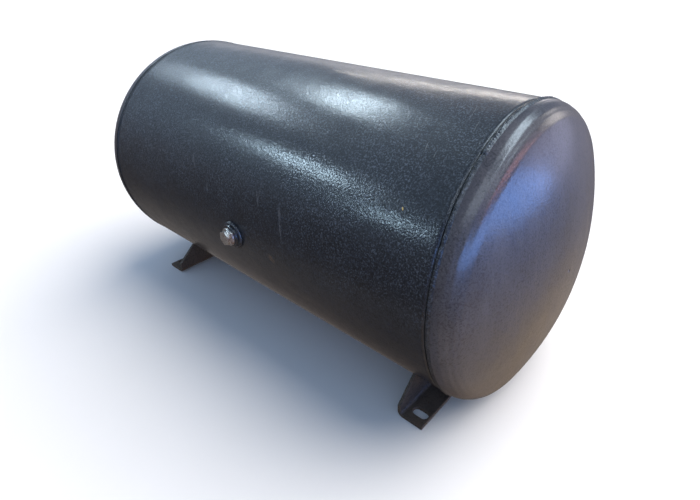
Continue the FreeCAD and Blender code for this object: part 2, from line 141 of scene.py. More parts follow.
def cell_noise(t, seed, pitch):
    """Value noise with one random value per pitch of length, smoothly joined."""
    rng = np.random.default_rng(seed)
    n = int(np.ceil((t.max() - t.min()) / pitch)) + 3
    vals = rng.normal(size=n)
    vals[-2:] = vals[:2]
    x = (t - t.min()) / pitch
    i = np.floor(x).astype(int)
    f = x - i
    f = f * f * (3 - 2 * f)
    return vals[i] * (1 - f) + vals[i + 1] * f


def keep(ob, node, mat):
    """A modelled piece that stands for a CAD node."""
    ob.data.materials.clear()
    ob.data.materials.append(mat)
    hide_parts(node)
    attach(ob, "root")
    return ob


# ---------------------------------------------------------------------------
# Materials
# ---------------------------------------------------------------------------
class Nodes:
    """Short way of writing a node tree."""

    def __init__(self, name):
        self.mat = bpy.data.materials.new(name)
        self.mat.use_nodes = True
        self.t = self.mat.node_tree
        self.t.nodes.clear()
        self.out = self.t.nodes.new("ShaderNodeOutputMaterial")
        self.bsdf = self.t.nodes.new("ShaderNodeBsdfPrincipled")
        self.t.links.new(self.bsdf.outputs[0], self.out.inputs[0])
        self.co = self.t.nodes.new("ShaderNodeTexCoord").outputs["Object"]

    def put(self, node, ins):
        for k, v in ins.items():
            s = node.inputs[k]
            if hasattr(v, "is_output"):
                self.t.links.new(v, s)
            else:
                s.default_value = v

    def node(self, kind, ins=None, **props):
        n = self.t.nodes.new(kind)
        for k, v in props.items():
            setattr(n, k, v)
        self.put(n, ins or {})
        return n

    def mapping(self, scale=(1, 1, 1), loc=(0, 0, 0), rot=(0, 0, 0)):
        return self.node("ShaderNodeMapping", {"Vector": self.co, "Scale": scale,
                                               "Location": loc, "Rotation": rot}).outputs[0]

    def noise(self, scale, detail=2.0, rough=0.5, vec=None, dist=0.0):
        return self.node("ShaderNodeTexNoise", {"Vector": vec or self.co, "Scale": scale, "Detail": detail,
                                                "Roughness": rough, "Distortion": dist}).outputs["Fac"]

    def voronoi(self, scale, feature="F1", vec=None, rand=1.0):
        n = self.node("ShaderNodeTexVoronoi", {"Vector": vec or self.co, "Scale": scale}, feature=feature)
        n.inputs["Randomness"].default_value = rand
        return n.outputs["Distance"]

    def ramp(self, fac, stops, mode="LINEAR"):
        n = self.node("ShaderNodeValToRGB", {"Fac": fac})
        r = n.color_ramp
        r.interpolation = mode
        while len(r.elements) > 1:
            r.elements.remove(r.elements[0])
        for i, (p, c) in enumerate(stops):
            c = (c, c, c, 1.0) if isinstance(c, (int, float)) else (*c, 1.0)
            e = r.elements[0] if i == 0 else r.elements.new(p)
            e.position = p
            e.color = c
        return n.outputs["Color"]

    def math(self, op, a, b=0.0, clamp=False):
        n = self.t.nodes.new("ShaderNodeMath")
        n.operation = op
        n.use_clamp = clamp
        for s, v in zip(n.inputs, (a, b)):
            if hasattr(v, "is_output"):
                self.t.links.new(v, s)
            else:
                s.default_value = v
        return n.outputs[0]

    def mix(self, fac, a, b):
        n = self.t.nodes.new("ShaderNodeMix")
        n.data_type = "RGBA"
        for s, v in ((n.inputs[0], fac), (n.inputs[6], a), (n.inputs[7], b)):
            if hasattr(v, "is_output"):
                self.t.links.new(v, s)
            else:
                s.default_value = v if isinstance(v, (int, float)) else (*v, 1.0)[:4]
        return n.outputs[2]

    def between(self, lo, hi, v):
        return self.node("ShaderNodeMapRange", {"Value": v, "From Min": 0.0, "From Max": 1.0,
                                                "To Min": lo, "To Max": hi}).outputs[0]

    def remap(self, v, a, b, lo=0.0, hi=1.0):
        n = self.node("ShaderNodeMapRange", {"Value": v, "From Min": a, "From Max": b, "To Min": lo, "To Max": hi})
        n.clamp = True
        return n.outputs[0]

    def axes(self):
        n = self.node("ShaderNodeSeparateXYZ", {"Vector": self.co})
        return n.outputs

    def lay(self):
        """Coordinates laid out on the tank: along it, and round it from the top (metres)."""
        x, y, z = self.axes()
        up = self.math("SUBTRACT", z, AXIS)
        out = self.math("MULTIPLY", y, -1.0)
        a = self.math("MULTIPLY", self.math("ARCTAN2", out, up), R)
        return self.node("ShaderNodeCombineXYZ", {"X": x, "Y": a}).outputs[0]

    def scaled(self, vec, scale, loc=(0, 0, 0), rot=(0, 0, 0)):
        return self.node("ShaderNodeMapping", {"Vector": vec, "Scale": scale, "Location": loc,
                                               "Rotation": rot}).outputs[0]

    def stroke(self, vec, a, b, width, soft=0.5):
        """Soft mask of a short line from a to b on the laid-out surface."""
        dx, dy = b[0] - a[0], b[1] - a[1]
        n = math.hypot(dx, dy) or 1e-6
        ang = math.atan2(dy, dx)
        cx, cy = (a[0] + b[0]) / 2, (a[1] + b[1]) / 2
        half = n / 2 + width
        c, s = math.cos(-ang), math.sin(-ang)
        off = (-(cx * c - cy * s), -(cx * s + cy * c), 0.0)
        v = self.node("ShaderNodeMapping", {"Vector": vec, "Location": off, "Rotation": (0, 0, -ang)}).outputs[0]
        p = self.node("ShaderNodeSeparateXYZ", {"Vector": v}).outputs
        u = self.math("DIVIDE", p[0], half)
        w = self.math("DIVIDE", p[1], width)
        d = self.math("ADD", self.math("MULTIPLY", u, u), self.math("MULTIPLY", w, w))
        return self.remap(d, 1.0, 1.0 - soft)

    def most(self, masks):
        out = masks[0]
        for m in masks[1:]:
            out = self.math("MAXIMUM", out, m)
        return out

    def bump(self, height, strength, distance, normal=None):
        ins = {"Height": height, "Strength": strength, "Distance": distance}
        if normal is not None:
            ins["Normal"] = normal
        return self.node("ShaderNodeBump", ins).outputs[0]

    def set(self, **kw):
        names = {"color": "Base Color", "rough": "Roughness", "metal": "Metallic", "normal": "Normal",
                 "coat": "Coat Weight", "coat_rough": "Coat Roughness", "coat_normal": "Coat Normal",
                 "spec": "Specular IOR Level", "ior": "IOR"}
        self.put(self.bsdf, {names[k]: v for k, v in kw.items()})
        return self.mat


def paint(name, base=(0.0064, 0.0090, 0.0155), haze=(0.0098, 0.0135, 0.0220), fleck=(0.165, 0.205, 0.265),
          peel=1.0, rough=(0.44, 0.58), coat=0.46, coat_rough=0.12, speckle=1.0, spec=0.18, marks=False, head=False,
          dusty=False, weld=False):
    """Thick semi-gloss enamel over sand-blasted steel: peel, nibs, runs, dust and small chips."""
    n = Nodes(name)
    x, y, z = n.axes()
    lay = n.lay()
    big = n.noise(6.0, 3.0, 0.55)
    mid = n.noise(34.0, 4.0, 0.6)
    peel_n = n.noise(400.0, 1.0, 0.5)
    coarse = n.noise(235.0, 1.0, 0.5, vec=n.mapping(loc=(0.2, 0.6, 0.4)))
    cells = n.voronoi(370.0)
    grit = n.noise(1100.0, 2.0, 0.6)
    col = n.mix(n.remap(mid, 0.30, 0.72), base, haze)
    col = n.mix(n.remap(big, 0.35, 0.70, 0.0, 0.5), col, tuple(0.75 * c for c in base))
    # pale bluish nibs of dry spray and dust caught in the film, thicker in some places, weighted to upward-facing
    # surfaces as painted glints of the sky
    up = n.node("ShaderNodeSeparateXYZ", {"Vector": n.node("ShaderNodeNewGeometry").outputs["Normal"]}).outputs[2]
    upward_glint_weight = n.remap(up, -0.10, 0.50, 0.16, 1.0)
    nib = n.math("MULTIPLY", n.remap(n.noise(470.0, 2.0, 0.7), 0.495, 0.635),
                 n.remap(n.noise(16.0, 3.0, 0.6), 0.30, 0.62, 0.40, 1.0))
    far = n.remap(x, 0.10, -0.25)
    blot = n.math("MULTIPLY", n.remap(n.noise(270.0, 2.0, 0.65, vec=n.mapping(loc=(0.8, 0.3, 0.1))), 0.53, 0.64), far)
    nib = n.math("MAXIMUM", nib, n.math("MULTIPLY", blot, 0.9))
    col = n.mix(n.math("MULTIPLY", n.math("MULTIPLY", nib, upward_glint_weight), 0.43 * speckle), col, fleck)
    dark = n.remap(n.noise(430.0, 2.0, 0.65, vec=n.mapping(loc=(0.31, 0.17, 0.05))), 0.50, 0.62, 0.0, 0.85)
    col = n.mix(dark, col, tuple(0.30 * c for c in base))
    r = n.remap(mid, 0.30, 0.72, rough[0], rough[1])
    r = n.math("ADD", r, n.math("MULTIPLY", nib, 0.10))
    # height: peel and nibs, fine grit, slow sag of the film
    h = n.math("ADD", n.math("MULTIPLY", peel_n, 0.60), n.math("MULTIPLY", cells, 0.28))
    h = n.math("ADD", h, n.math("MULTIPLY", n.math("MULTIPLY", coarse, far), 0.55 if marks else 0.0))
    h = n.math("ADD", h, n.math("MULTIPLY", nib, 0.20))
    h = n.math("ADD", h, n.math("MULTIPLY", grit, 0.05))
    h = n.math("SUBTRACT", h, n.math("MULTIPLY", dark, 0.10))
    nrm = n.bump(h, 1.0, 0.00021 * peel)
    nrm = n.bump(n.noise(85.0, 2.0, 0.5), 0.12 * peel, 0.0012, nrm)
    if marks:
        # upright runs and wiped dust on the flank
        v = n.scaled(lay, (150.0, 13.0, 1.0))
        runs = n.noise(1.0, 2.0, 0.5, vec=v, dist=0.5)
        where = n.math("MULTIPLY", n.remap(n.noise(7.0, 1.0, 0.5, vec=n.scaled(lay, (1, 1, 1), (3.1, 0.4, 0.7))), 0.50, 0.62),
                       n.remap(n.math("ABSOLUTE", y), 0.12, 0.175))
        m = n.math("MULTIPLY", n.remap(runs, 0.66, 0.76), where)
        streaks = [
            n.stroke(lay, (-0.1045, 0.228), (-0.0975, 0.243), 0.0016, 0.9),
            n.stroke(lay, (-0.0975, 0.236), (-0.0950, 0.246), 0.0010, 0.9),
            n.stroke(lay, (-0.0610, 0.256), (-0.0575, 0.277), 0.0015, 0.9),
            n.stroke(lay, (0.0500, 0.240), (0.0590, 0.262), 0.0020, 0.9),
            n.stroke(lay, (0.1010, 0.262), (0.1080, 0.296), 0.0017, 0.9),
            n.stroke(lay, (0.0985, 0.250), (0.1035, 0.268), 0.0030, 0.95),
        ]
        m = n.math("MAXIMUM", n.math("MULTIPLY", m, 0.8),
                   n.math("MULTIPLY", n.most(streaks), n.remap(n.noise(520.0, 3.0, 0.7), 0.34, 0.60)))
        col = n.mix(n.math("MULTIPLY", m, 0.42), col, (0.150, 0.160, 0.180))
        r = n.math("ADD", r, n.math("MULTIPLY", m, 0.15))
        # handling scratches near the right-hand weld, and a few elsewhere
        lines = [((0.2885, 0.0400), (0.2960, 0.0720), 0.00050), ((0.2955, 0.0680), (0.2945, 0.0800), 0.00045),
                 ((0.2560, 0.0400), (0.2590, 0.0560), 0.00050), ((0.2650, 0.0440), (0.2700, 0.0600), 0.00035),
                 ((0.3080, 0.0700), (0.3110, 0.0900), 0.00055), ((0.2420, 0.0510), (0.2470, 0.0640), 0.00035),
                 ((0.2700, 0.1170), (0.2730, 0.1310), 0.00055), ((0.2860, 0.1240), (0.2870, 0.1360), 0.00045),
                 ((0.2260, 0.0720), (0.2350, 0.0800), 0.00035), ((-0.2100, 0.0500), (-0.1950, 0.0900), 0.00040),
                 ((-0.0400, -0.1200), (-0.0100, -0.1900), 0.00045), ((0.1500, -0.2300), (0.1620, -0.1500), 0.00045),
                 ((-0.2500, -0.1700), (-0.2300, -0.1820), 0.00040), ((0.0300, 0.1300), (0.0500, 0.1220), 0.00035)]
        sc = n.most([n.stroke(lay, a, b, w, 0.85) for a, b, w in lines])
        sc = n.math("MULTIPLY", sc, n.remap(n.noise(330.0, 3.0, 0.7), 0.42, 0.56))
        col = n.mix(n.math("MULTIPLY", sc, 0.55), col, (0.200, 0.210, 0.220))
        r = n.math("ADD", r, n.math("MULTIPLY", sc, 0.20))
        nrm = n.bump(sc, 0.5, -0.00025, nrm)
        # dark pits and one bright chip, one rust bleed by the front port
        pits = n.most([n.stroke(lay, (cx - 0.0006, cy), (cx + 0.0006, cy), w, 0.6) for cx, cy, w in (
            (0.3224, 0.0076, 0.0011), (0.2388, 0.2005, 0.0010), (0.0745, 0.1500, 0.0013), (0.0700, 0.1830, 0.0016),
            (-0.1050, 0.1500, 0.0014), (0.1100, 0.1180, 0.0010), (-0.2100, -0.1300, 0.0012), (0.2100, -0.2600, 0.0013),
            (0.0200, -0.0700, 0.0010))])
        col = n.mix(n.math("MULTIPLY", pits, 0.9), col, (0.003, 0.003, 0.004))
        nrm = n.bump(pits, 0.9, -0.0006, nrm)
        chip = n.stroke(lay, (0.2788, 0.1965), (0.2800, 0.1985), 0.0010, 0.4)
        col = n.mix(chip, col, (0.50, 0.36, 0.10))
        bleed = n.math("MULTIPLY", n.stroke(lay, (0.0770, 0.3275), (0.0845, 0.3325), 0.0055, 0.95),
                       n.remap(n.noise(150.0, 4.0, 0.65), 0.36, 0.62))
        col = n.mix(n.math("MULTIPLY", bleed, 0.75), col, (0.085, 0.045, 0.018))
        # broad wiped streaks, browner and lighter towards the bottom of the flank
        wipe = n.noise(1.0, 3.0, 0.6, vec=n.scaled(lay, (5.0, 60.0, 1.0), (0.0, 0.4, 0.0), (0, 0, 0.42)), dist=1.2)
        zone = n.math("MULTIPLY", n.remap(z, 0.24, 0.12), n.remap(wipe, 0.44, 0.68))
        col = n.mix(n.math("MULTIPLY", zone, 0.42), col, (0.030, 0.023, 0.018))
    if head:
        # faint circles left by spinning the dish, and a handled, smeared look
        rr = n.math("SQRT", n.math("ADD", n.math("POWER", y, 2.0),
                                   n.math("POWER", n.math("SUBTRACT", z, AXIS), 2.0)))
        circ = n.node("ShaderNodeCombineXYZ", {"X": n.math("MULTIPLY", rr, 260.0)}).outputs[0]
        nrm = n.bump(n.noise(1.0, 3.0, 0.6, vec=circ), 0.07, 0.0004, nrm)
        smear = n.noise(10.0, 4.0, 0.62, vec=n.mapping(scale=(1, 1, 0.35), rot=(0.5, 0, 0)))
        r = n.math("ADD", r, n.remap(smear, 0.42, 0.66, -0.02, 0.08))
        col = n.mix(n.remap(smear, 0.42, 0.70, 0.0, 0.6), col, (0.078, 0.073, 0.084))
        brush = n.noise(1.0, 3.0, 0.6, vec=n.mapping(scale=(30, 240, 20), rot=(0.55, 0, 0)))
        col = n.mix(n.remap(brush, 0.54, 0.74, 0.0, 0.17), col, (0.110, 0.105, 0.112))
    # browner towards the bottom, in cloudy patches, and a little rougher there
    low = n.remap(z, 0.185, 0.015)
    low_brown = n.math("MULTIPLY", low, n.remap(n.noise(8.0, 5.0, 0.62), 0.30, 0.64))
    col = n.mix(n.math("MULTIPLY", low_brown, 0.80 if head else 0.62), col, (0.092, 0.064, 0.040) if head else (0.026, 0.018, 0.013))
    r = n.math("ADD", r, n.math("MULTIPLY", low_brown, 0.12))
    if weld:
        soot = n.remap(n.noise(140.0, 3.0, 0.6), 0.46, 0.70, 0.0, 0.7)
        col = n.mix(soot, col, (0.030, 0.034, 0.040))
        crust = n.remap(n.noise(650.0, 3.0, 0.65), 0.55, 0.68)
        col = n.mix(n.math("MULTIPLY", crust, 0.4), col, (0.090, 0.095, 0.100))
        nrm = n.bump(n.noise(800.0, 3.0, 0.6), 0.30, 0.00025, nrm)
        # painted shade: the undercut beside the bead is painted near black and made rougher, for the shade in the
        # groove
        off = n.math("SUBTRACT", n.math("ABSOLUTE", x), SEAM - 0.0020)
        groove_painted_shade = n.remap(n.math("ABSOLUTE", off), 0.0016, 0.0007)
        col = n.mix(n.math("MULTIPLY", groove_painted_shade, 0.9), col, (0.0022, 0.0026, 0.0034))
        r = n.math("ADD", r, n.math("MULTIPLY", groove_painted_shade, 0.25))
    if dusty:
        top = n.math("MULTIPLY", n.remap(up, 0.35, 0.9), n.remap(z, 0.016, 0.008))
        cloud = n.remap(n.noise(34.0, 5.0, 0.65), 0.30, 0.62)
        m = n.math("MULTIPLY", top, cloud)
        col = n.mix(n.math("MULTIPLY", m, 0.66), col, (0.150, 0.108, 0.072))
        r = n.math("ADD", r, n.math("MULTIPLY", m, 0.25))
        chips = n.math("MULTIPLY", n.remap(n.noise(210.0, 4.0, 0.7), 0.62, 0.66), n.remap(n.noise(30.0, 1.0), 0.48, 0.58))
        col = n.mix(n.math("MULTIPLY", chips, 0.8), col, (0.10, 0.045, 0.020))
        nrm = n.bump(chips, 0.3, -0.0003, nrm)
        grain = n.remap(n.noise(700.0, 3.0, 0.7), 0.5, 0.7)
        col = n.mix(n.math("MULTIPLY", n.math("MULTIPLY", grain, top), 0.5), col, (0.11, 0.095, 0.07))
    # the clear film is dull in pits and over dry spray, so gloss breaks up into grains
    dry = n.math("MAXIMUM", n.remap(dark, 0.0, 0.85),
                 n.math("MULTIPLY", far, n.remap(n.noise(185.0, 3.0, 0.75, vec=n.mapping(loc=(0.07, 0.41, 0.23))), 0.485, 0.555)))
    patch = n.remap(n.noise(11.0, 3.0, 0.6, vec=n.mapping(loc=(0.5, 0.1, 0.9))), 0.34, 0.60, 0.45, 1.0)
    dull = n.math("MULTIPLY", n.math("MULTIPLY", dry, patch), 0.24 if head else 0.85)
    dull = n.math("MULTIPLY", dull, n.remap(up, 0.15, 0.75, 0.45, 1.0))
    if weld:
        # painted shade in the undercut also dulls the coat there
        dull = n.math("MAXIMUM", dull, n.math("MULTIPLY", groove_painted_shade, 0.95))
    gloss = n.math("MULTIPLY", n.math("SUBTRACT", 1.0, dull), coat)
    return n.set(color=col, rough=r, normal=nrm, coat=gloss, coat_rough=coat_rough, coat_normal=nrm, ior=1.5, spec=spec)


def zinc(name):
    """Bright zinc plate gone dull in places, with brown rust bleeding through."""
    n = Nodes(name)
    cloud = n.noise(260.0, 4.0, 0.6)
    fine = n.noise(1900.0, 3.0, 0.6)
    rust = n.math("MULTIPLY", n.remap(n.noise(120.0, 5.0, 0.7), 0.46, 0.58), n.remap(cloud, 0.30, 0.55))
    col = n.mix(n.remap(cloud, 0.35, 0.7), (0.46, 0.455, 0.45), (0.27, 0.26, 0.25))
    col = n.mix(n.remap(fine, 0.45, 0.7, 0.0, 0.5), col, (0.20, 0.19, 0.19))
    col = n.mix(n.math("MULTIPLY", rust, 0.85), col, (0.17, 0.085, 0.040))
    r = n.math("ADD", n.remap(cloud, 0.3, 0.7, 0.22, 0.40), n.math("MULTIPLY", rust, 0.35))
    metal = n.remap(rust, 0.0, 1.0, 1.0, 0.25)
    nrm = n.bump(fine, 0.25, 0.0002)
    nrm = n.bump(rust, 0.35, 0.0004, nrm)
    return n.set(color=col, rough=r, metal=metal, normal=nrm)


M_SHELL = paint("shell_enamel", marks=True)
M_HEAD = paint("head_enamel", base=(0.0300, 0.0290, 0.0390), haze=(0.0440, 0.0420, 0.0520), fleck=(0.120, 0.115, 0.130),
               peel=0.66, speckle=0.85, rough=(0.36, 0.48), coat=0.55, coat_rough=0.20, head=True)
M_WELD = paint("weld_enamel", peel=0.8, rough=(0.38, 0.54), coat=0.48, coat_rough=0.18, weld=True)
M_BOSS = paint("boss_enamel", peel=0.5, rough=(0.34, 0.48), coat=0.7, coat_rough=0.18)
M_FEET = paint("saddle_enamel", base=(0.0900, 0.0680, 0.0500), haze=(0.128, 0.098, 0.072), fleck=(0.165, 0.135, 0.112),
               peel=0.7, rough=(0.50, 0.68), coat=0.06, coat_rough=0.30, dusty=True)
M_ZINC = zinc("zinc_plate")


# ---------------------------------------------------------------------------
# Shell: rolled plate with slight flats, and its turned edges
# ---------------------------------------------------------------------------
def shell():
    nu, nv = 560, 110
    th = np.linspace(0, 2 * math.pi, nu, endpoint=False)[:, None]
    xs = np.linspace(-SHELL_END, SHELL_END, nv)[None, :]
    vx = xs / SHELL_END
    # flats left by the rolls run along the tank, with slow bowing between the ends
    flats = waves(th, vx, 5, 9, (7, 15), (-1.6, 1.6))
    slow = waves(th, vx, 8, 8, (2, 5), (-3.0, 3.0))
    dent = waves(th, vx, 11, 10, (4, 12), (-7.0, 7.0))
    edge = np.clip((1 - np.abs(vx)) / 0.05, 0, 1)
    off = (0.00011 * flats + 0.00016 * slow + 0.000055 * dent) * (0.25 + 0.75 * edge)
    off = off - off.max() - 0.00002
    rad = R + off
    rows = [np.stack([xs + 0 * th, -rad * np.cos(th), AXIS + rad * np.sin(th)], -1)]
    # close over the end faces and the inner wall
    ri = R - WALL
    inner_x = np.array([SHELL_END, SHELL_END * 0.5, 0, -SHELL_END * 0.5, -SHELL_END])[None, :]
    rows.append(np.stack([inner_x + 0 * th, -ri * np.cos(th) + 0 * inner_x, AXIS + ri * np.sin(th) + 0 * inner_x], -1))
    P = np.concatenate(rows, 1)
    ob = grid("rolled_shell", P, close_u=True, close_v=True)
    return keep(ob, "shell", M_SHELL)


# ---------------------------------------------------------------------------
# Heads: pressed dish with a knuckle, smooth
# ---------------------------------------------------------------------------
def head(sign, name, node):
    cc = DEPTH - CROWN_R
    rk = R - KNUCKLE
    xk = cc + math.sqrt((CROWN_R - KNUCKLE) ** 2 - rk ** 2)
    a_t = math.atan2(rk, xk - cc)
    prof = [(0.001, R), (xk, R)]
    for a in np.linspace(math.pi / 2, a_t, 30)[1:]:
        prof.append((xk + KNUCKLE * math.cos(a), rk + KNUCKLE * math.sin(a)))
    for a in np.linspace(a_t, 0.0006, 46)[1:]:
        prof.append((cc + CROWN_R * math.cos(a), CROWN_R * math.sin(a)))
    n_out = len(prof)
    w = WALL
    for a in np.linspace(0.0006, a_t, 12):
        prof.append((cc + (CROWN_R - w) * math.cos(a), (CROWN_R - w) * math.sin(a)))
    for a in np.linspace(a_t, math.pi / 2, 6)[1:]:
        prof.append((xk + (KNUCKLE - w) * math.cos(a), rk + (KNUCKLE - w) * math.sin(a)))
    prof.append((0.001, R - w))
    prof = np.array(prof)
    nu = 440
    th = np.linspace(0, 2 * math.pi, nu, endpoint=False)[:, None]
    X, Q = prof[:, 0][None, :], prof[:, 1][None, :]
    outer = np.zeros(len(prof)); outer[:n_out] = 1
    fade = outer * np.clip(prof[:, 1] / R, 0, 1) ** 2 * np.clip((prof[:, 0] - 0.001) / 0.02, 0, 1)
    press = waves(th, Q / R * 3.0, 21 + sign, 8, (2, 6), (-2.0, 2.0))
    press = press - press.max()
    d = 0.00012 * press * fade[None, :]
    # soft rings round the knuckle, left by the flanging roll
    run = np.concatenate([[0], np.cumsum(np.hypot(*np.diff(prof, axis=0).T))])
    ring = np.exp(-((run - 0.021) / 0.013) ** 2) * outer
    wave = np.cos(2 * math.pi * run / 0.0082)[None, :] + 0 * th
    d = d - 0.000110 * ring[None, :] * (1 + wave * (0.8 + 0.2 * np.cos(3 * th + 1.1)))
    P = np.stack([sign * (SEAM + X + d), -(Q + d) * np.cos(th), AXIS + (Q + d) * np.sin(th)], -1)
    ob = grid(name, P, close_u=True, close_v=True)
    return keep(ob, node, M_HEAD)


# ---------------------------------------------------------------------------
# Weld beads
# ---------------------------------------------------------------------------
def ripple(s, v, pitch, seed, lag=0.55):
    """Crescent ripples of a bead along length s, across v in -1..1."""
    rng = np.random.default_rng(seed)
    wob = cell_noise(s, seed + 1, pitch * 3.0) * 0.35
    ph = (s / pitch)[:, None] + wob[:, None] + lag * (v[None, :] ** 2)
    f = ph - np.floor(ph)
    return np.where(f < 0.72, f / 0.72, (1 - f) / 0.28) - 0.5


def girth(sign, name, node, seed, step_deg, proud=1.0, undercut=1.0):
    n_u = 2200
    th = np.linspace(0, 2 * math.pi, n_u, endpoint=False)
    s = th * R
    v = np.linspace(-1, 1, 20)
    deg = np.degrees(th)
    # one stretch, above the stop, is wider and rougher
    rough = np.clip((deg - step_deg) / 0.8, 0, 1) * np.clip((step_deg + 62 - deg) / 1.5, 0, 1)
    low = (deg - step_deg + 180) % 360 - 180
    rough = np.maximum(rough, 0.55 * np.clip((low + 66) / 1.0, 0, 1) * np.clip((-30 - low) / 3.0, 0, 1))
    per = 2 * math.pi * R
    width = BEAD_W * (0.80 + 0.035 * noise1(s, seed, per) + 0.03 * cell_noise(s, seed + 3, 0.009) + 0.12 * rough)
    width = np.clip(width, 0.6 * BEAD_W, 0.985 * BEAD_W)
    wander = 0.0005 * noise1(s, seed + 7, per) * (1 - 0.6 * rough)
    room = (BEAD_W - width) / 2
    wander = np.clip(wander, -room * 0.9, room * 0.9)
    top = proud * BEAD_H * (0.56 + 0.06 * noise1(s, seed + 9, per) + 0.06 * cell_noise(s, seed + 4, 0.006) + 0.26 * rough)
    prof = np.where(v < 0, 1 - np.abs(v) ** 2.3, (1 - np.abs(v) ** 1.7) ** 1.25)
    h = top[:, None] * prof[None, :]
    rip = ripple(s, v, 0.0021, seed)
    rip2 = ripple(s, v, 0.0046, seed + 5)
    # a narrow undercut runs along the shell's edge where the bead is thin
    cut = np.exp(-((v + 0.50) / 0.19) ** 2)
    h = h - undercut * (0.00215 * (1 - 0.75 * rough) * (1 + 0.12 * noise1(s, seed + 11, per)))[:, None] * cut[None, :]
    amp = proud * (0.00010 * (1 - rough) + 0.00072 * rough)[:, None] * prof[None, :] ** 0.5
    h = h + amp * (rip * (1 - rough[:, None]) + rip2 * rough[:, None])
    lump = cell_noise(s, seed + 6, 0.0035)[:, None] * np.cos(2.2 * v + 1.0)[None, :]
    h = h + proud * (0.00007 + 0.00022 * rough)[:, None] * lump * prof[None, :]
    # craters where a run stops
    for stop, size in ((step_deg, 1.0), (step_deg + 62, 0.9), (step_deg + 170, 0.8), (step_deg + 262, 0.8)):
        dd = ((deg - stop + 180) % 360 - 180) * math.radians(1) * R
        h = h + proud * (0.0006 * size * np.exp(-((dd - 0.004) / 0.0032) ** 2)
                 - 0.0009 * size * np.exp(-((dd + 0.0005) / 0.0018) ** 2))[:, None] * prof[None, :]
    h = np.minimum(h, BEAD_H - 0.00002)
    x = sign * (SEAM + wander[:, None] + v[None, :] * width[:, None] / 2)
    rad = R - 0.00025 + h
    top_ring = np.stack([x, -rad * np.cos(th)[:, None], AXIS + rad * np.sin(th)[:, None]], -1)
    rb = R - 0.0033
    xb = np.stack([sign * (SEAM + 0.6 * BEAD_W / 2) + 0 * th, sign * (SEAM - 0.6 * BEAD_W / 2) + 0 * th], 1)
    bottom = np.stack([xb, -rb * np.cos(th)[:, None] + 0 * xb, AXIS + rb * np.sin(th)[:, None] + 0 * xb], -1)
    ob = grid(name, np.concatenate([top_ring, bottom], 1), close_u=True, close_v=True)
    return keep(ob, node, M_WELD)


def long_seam():
    lo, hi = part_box("long_seam_weld")
    a0 = math.atan2((lo[2] + hi[2]) / 2 - AXIS, (lo[1] + hi[1]) / 2)
    L = hi[0] - lo[0]
    s = np.linspace(0, L, 1300)
    v = np.linspace(-1, 1, 11)
    w = 0.0078 * (0.86 + 0.03 * noise1(s, 61, L) + 0.02 * cell_noise(s, 62, 0.008))
    prof = 1 - np.abs(v) ** 2.2
    h = 0.00130 * (1 + 0.05 * noise1(s, 63, L))[:, None] * prof[None, :]
    h = h + 0.00012 * ripple(s, v, 0.0024, 64) * prof[None, :] ** 0.5
    h = np.clip(h, None, 0.00155)
    ang = a0 + v[None, :] * w[:, None] / 2 / R
    rad = R - 0.0003 + h
    X = lo[0] + s[:, None] + 0 * v[None, :]
    top = np.stack([X, rad * np.cos(ang), AXIS + rad * np.sin(ang)], -1)
    ab = a0 + np.array([0.8, -0.8])[None, :] * w[:, None] / 2 / R
    rb = R - 0.0012
    Xb = lo[0] + s[:, None] + 0 * ab
    bot = np.stack([Xb, rb * np.cos(ab), AXIS + rb * np.sin(ab)], -1)
    ob = grid("long_seam_bead", np.concatenate([top, bot], 1), close_v=True, caps=True)
    return keep(ob, "long_seam_weld", M_WELD)


def boss_weld(side, node, seed):
    sg = -1 if side == "front" else 1
    lo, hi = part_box(node)
    toe = (hi[0] - lo[0]) / 2 - 0.0006
    reach = max(abs(lo[1]), abs(hi[1])) - R
    ph = np.linspace(0, 2 * math.pi, 640, endpoint=False)
    s = ph * 0.0205
    per = 2 * math.pi * 0.0205
    v = np.linspace(0, 1, 13)
    leg = (toe - BOSS_R) * (0.90 + 0.04 * noise1(s, seed, per) + 0.03 * cell_noise(s, seed + 1, 0.004))
    leg = np.minimum(leg, toe - BOSS_R)
    up = reach * (0.84 + 0.05 * noise1(s, seed + 2, per))
    up = np.minimum(up, reach * 0.97)
    a = v * math.pi / 2
    pr = np.cos(a) ** 0.85
    ph_h = np.sin(a) ** 0.85
    rip = ripple(s, 2 * v - 1, 0.0019, seed + 3) * np.sin(2 * a)[None, :] * 0.00022
    rho = BOSS_R - 0.0002 + leg[:, None] * pr[None, :] + rip
    hgt = up[:, None] * ph_h[None, :] - 0.0003 + rip * 0.8
    xx = rho * np.cos(ph)[:, None]
    zz = PORT_Z - AXIS + rho * np.sin(ph)[:, None]
    surf = np.sqrt(R ** 2 - zz ** 2)
    # the upper toe lies level on the boss, the lower one on the shell
    blend = ph_h[None, :]
    level = R
    yy = surf * (1 - blend) + level * blend + hgt
    yy = np.minimum(yy, R + reach - 0.00003)
    P = np.stack([PORT_X + xx, sg * yy, AXIS + zz], -1)
    rb = np.stack([BOSS_R - 0.0006 + 0 * ph, BOSS_R + 0.003 + 0 * ph], 1)
    zb = PORT_Z - AXIS + rb * np.sin(ph)[:, None]
    yb = np.sqrt(R ** 2 - zb ** 2) - 0.0008
    Pb = np.stack([PORT_X + rb * np.cos(ph)[:, None], sg * yb, AXIS + zb], -1)
    ob = grid(side + "_boss_bead", np.concatenate([P, Pb], 1), close_u=True, close_v=True)
    return keep(ob, node, M_WELD)


